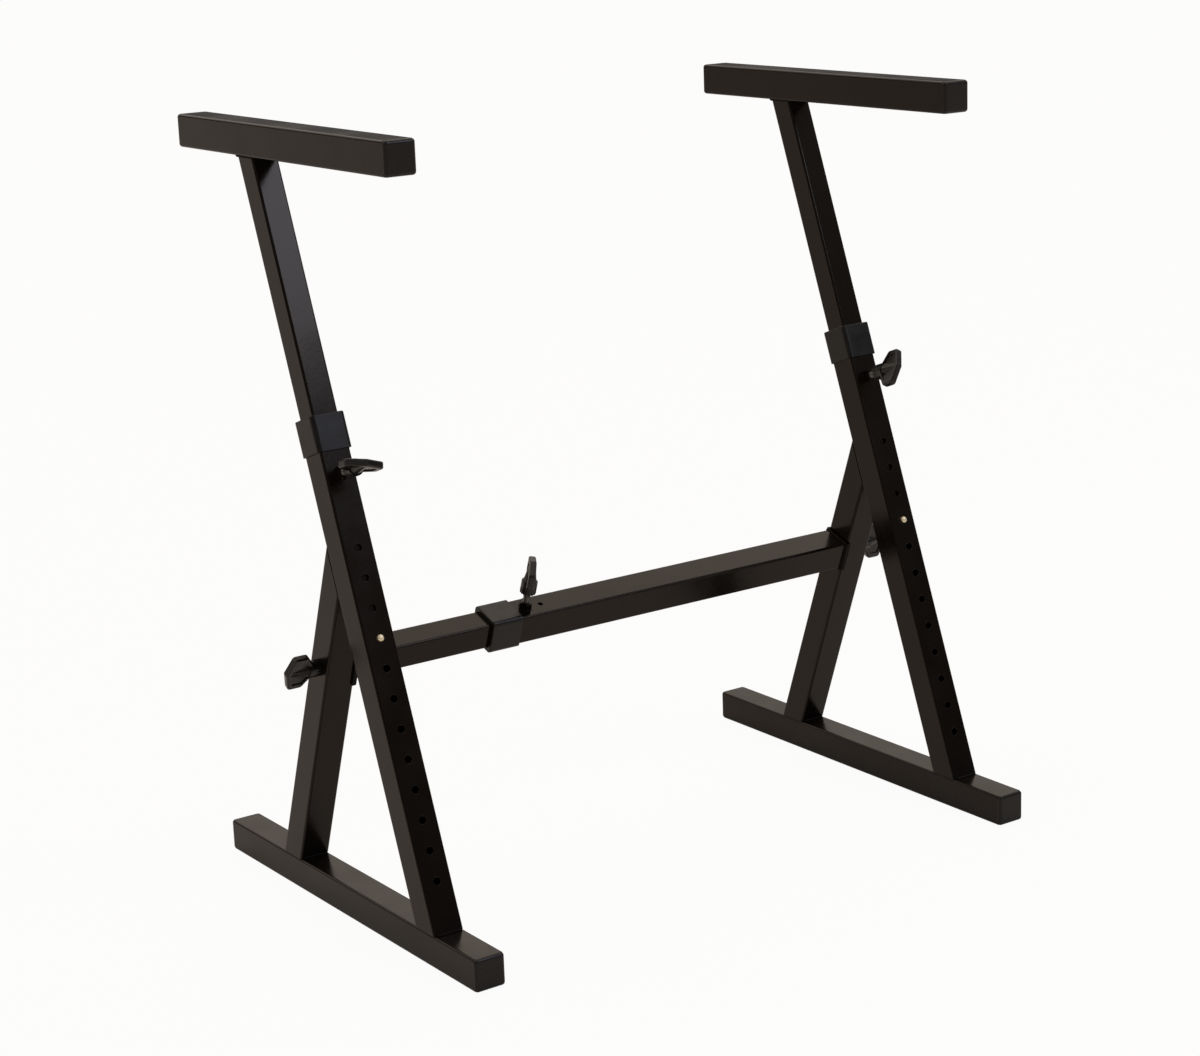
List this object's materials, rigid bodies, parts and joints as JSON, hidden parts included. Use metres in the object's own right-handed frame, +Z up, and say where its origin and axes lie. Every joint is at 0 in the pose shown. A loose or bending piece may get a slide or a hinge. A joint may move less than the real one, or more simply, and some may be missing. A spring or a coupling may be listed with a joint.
{
  "type": "z-style keyboard stand",
  "caption": "Z-style keyboard stand of black square tube: side frames with telescoping posts and flat arms, joined by a telescoping crossbar with clamp knobs.",
  "frame": {"origin": "on the floor, in the middle of the stand's footprint box", "axes": "+X to the stand's right along the crossbar, +Y to its back, +Z up"},
  "size_m": [0.822, 0.5222, 0.8337],
  "materials": {
    "black_powder_coat": "semi-gloss black powder coat",
    "black_plastic": "satin black moulded plastic",
    "zinc_plated_steel": "zinc plate",
    "button_brass": "polished, lightly yellowed plate",
    "spring_steel": "oiled spring steel"
  },
  "bodies": {
    "left_frame": {"left_foot": "black_powder_coat", "left_foot_front_cap": "black_plastic", "left_foot_rear_cap": "black_plastic", "left_front_leg": "black_powder_coat", "left_rear_leg": "black_powder_coat", "left_leg_collar": "black_plastic", "left_leg_nut": "black_powder_coat", "left_end_bracket": "black_powder_coat", "left_end_nut": "black_powder_coat", "crossbar_inner": "black_powder_coat"},
    "left_upright": {"left_post": "black_powder_coat", "left_arm": "black_powder_coat", "left_arm_front_cap": "black_plastic", "left_arm_rear_cap": "black_plastic", "left_button_spring": "spring_steel"},
    "left_button": {"left_snap_button": "button_brass"},
    "left_post_lock": {"left_post_knob": "black_plastic", "left_post_screw": "zinc_plated_steel"},
    "left_side_lock": {"left_side_knob": "black_plastic", "left_side_screw": "zinc_plated_steel"},
    "right_frame": {"right_foot": "black_powder_coat", "right_foot_front_cap": "black_plastic", "right_foot_rear_cap": "black_plastic", "right_front_leg": "black_powder_coat", "right_rear_leg": "black_powder_coat", "right_leg_collar": "black_plastic", "right_leg_nut": "black_powder_coat", "right_end_bracket": "black_powder_coat", "right_end_nut": "black_powder_coat", "crossbar_outer": "black_powder_coat", "crossbar_collar": "black_plastic", "crossbar_nut": "black_powder_coat"},
    "right_upright": {"right_post": "black_powder_coat", "right_arm": "black_powder_coat", "right_arm_front_cap": "black_plastic", "right_arm_rear_cap": "black_plastic", "right_button_spring": "spring_steel"},
    "right_button": {"right_snap_button": "button_brass"},
    "right_post_lock": {"right_post_knob": "black_plastic", "right_post_screw": "zinc_plated_steel"},
    "right_side_lock": {"right_side_knob": "black_plastic", "right_side_screw": "zinc_plated_steel"},
    "crossbar_lock": {"crossbar_knob": "black_plastic", "crossbar_screw": "zinc_plated_steel"}
  },
  "joints": [
    {"name": "width_slide", "type": "slide", "parent": "left_frame", "child": "right_frame", "axis": [1, 0, 0], "range_m": [-0.15, 0.19]},
    {"name": "left_height_slide", "type": "slide", "parent": "left_frame", "child": "left_upright", "axis": [0, 0.3469, 0.9379], "range_m": [-0.25273, 0.09477], "deforming": ["left_snap_button"]},
    {"name": "left_button_press", "type": "slide", "parent": "left_upright", "child": "left_button", "axis": [0, 0.9379, -0.3469], "range_m": [0, 0.0068], "stiffness_N_per_m": 1500, "springref_m": -0.002, "deforming": ["left_button_spring"]},
    {"name": "left_post_lock_turn", "type": "hinge", "parent": "left_frame", "child": "left_post_lock", "pos_m": [-0.3535, -0.01872, 0.48469], "axis": [0, -0.9379, 0.3469], "range_deg": [0, 450]},
    {"name": "left_side_lock_turn", "type": "hinge", "parent": "left_frame", "child": "left_side_lock", "pos_m": [-0.371, 0.02289, 0.27122], "axis": [-1, 0, 0], "range_deg": [0, 450]},
    {"name": "right_height_slide", "type": "slide", "parent": "right_frame", "child": "right_upright", "axis": [0, 0.3469, 0.9379], "range_m": [-0.25273, 0.09477], "deforming": ["right_snap_button"]},
    {"name": "right_button_press", "type": "slide", "parent": "right_upright", "child": "right_button", "axis": [0, 0.9379, -0.3469], "range_m": [0, 0.0068], "stiffness_N_per_m": 1500, "springref_m": -0.002, "deforming": ["right_button_spring"]},
    {"name": "right_post_lock_turn", "type": "hinge", "parent": "right_frame", "child": "right_post_lock", "pos_m": [0.3535, -0.01872, 0.48469], "axis": [0, -0.9379, 0.3469], "range_deg": [0, 450]},
    {"name": "right_side_lock_turn", "type": "hinge", "parent": "right_frame", "child": "right_side_lock", "pos_m": [0.371, 0.02289, 0.27122], "axis": [1, 0, 0], "range_deg": [0, 450]},
    {"name": "crossbar_lock_turn", "type": "hinge", "parent": "right_frame", "child": "crossbar_lock", "pos_m": [-0.1139, 0.01682, 0.28763], "axis": [0, -0.3469, 0.9379], "range_deg": [0, 450]}
  ]
}
